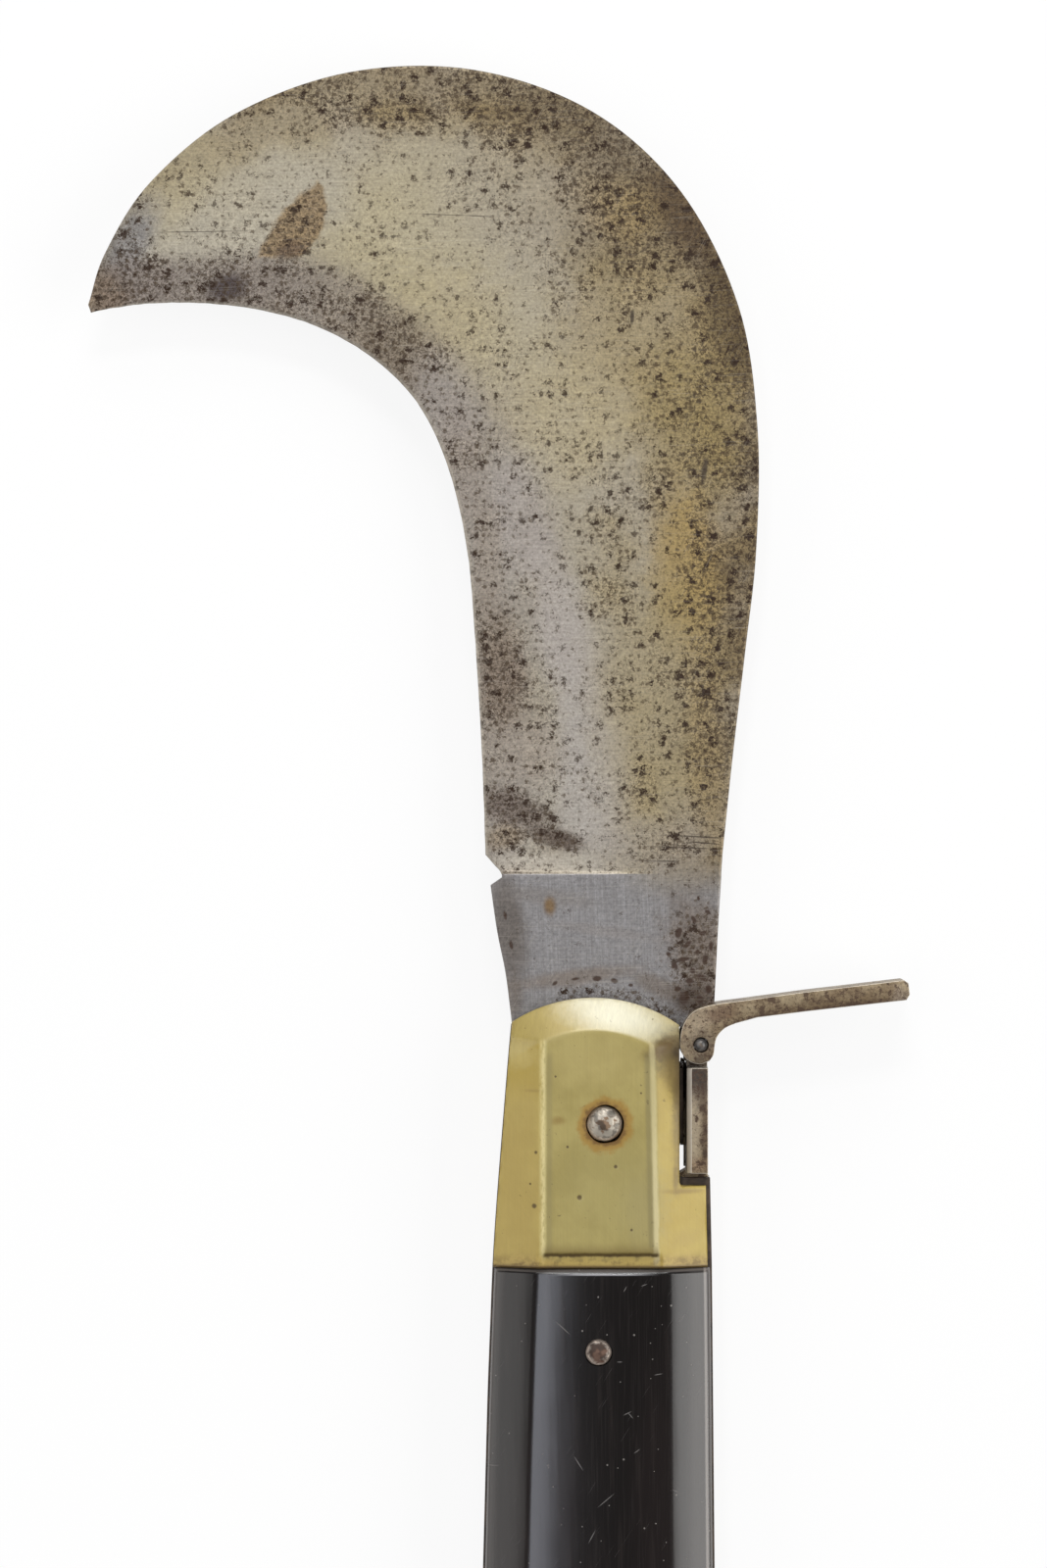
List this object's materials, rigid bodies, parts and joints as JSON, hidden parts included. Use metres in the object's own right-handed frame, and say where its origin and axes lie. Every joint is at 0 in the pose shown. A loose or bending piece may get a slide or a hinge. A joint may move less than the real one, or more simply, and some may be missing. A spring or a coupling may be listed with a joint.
{
  "type": "folding pruning knife",
  "caption": "Folding pruning knife with a deeply hooked blade, horn handle, brass bolsters and a lever that releases the open blade.",
  "frame": {"origin": "the blade's pivot axis, where it meets the plane that the knife lies on, at the far bolster's flat panel", "axes": "+X towards the back of the knife and the raised lever, +Y along the handle towards the hook, +Z from the far side to the near side"},
  "size_m": [0.1045, 0.2727, 0.013],
  "materials": {
    "blade_steel": "old carbon steel with yellow-grey patina and pits",
    "spring_steel": "worn steel with brown rust",
    "liner_steel": "dark rusted steel",
    "pin_steel": "peened steel",
    "brass": "satin, hand polished",
    "horn": "polished dark horn"
  },
  "bodies": {
    "handle": {"pivot_pin": "pin_steel", "near_bolster": "brass", "far_bolster": "brass", "near_bolster_pins": "pin_steel", "far_bolster_pins": "pin_steel", "near_liner": "liner_steel", "far_liner": "liner_steel", "near_scale": "horn", "far_scale": "horn", "near_front_rivet": "pin_steel", "far_front_rivet": "pin_steel", "middle_rivet": "pin_steel", "tail_rivet": "pin_steel"},
    "blade": {"blade": "blade_steel"},
    "spring": {"backspring": "spring_steel", "lever_pin": "pin_steel"},
    "lever": {"lock_lever": "spring_steel"}
  },
  "joints": [
    {"name": "blade_fold", "type": "hinge", "parent": "handle", "child": "blade", "pos_m": [0, 0, 0.0065], "axis": [0, 0, 1], "range_deg": [0, 151.5]},
    {"name": "spring_lift", "type": "hinge", "parent": "handle", "child": "spring", "pos_m": [0.0044, -0.1322, 0.0065], "axis": [0, 0, 1], "range_deg": [0, 0.1215]},
    {"name": "lever_swing", "type": "hinge", "parent": "spring", "child": "lever", "pos_m": [0.01225, 0.0099, 0.0065], "axis": [0, 0, 1], "range_deg": [-98, 0]}
  ],
  "couplings": [
    {"joint": "spring_lift", "follows": "lever_swing", "ratio": -0.0012347}
  ]
}
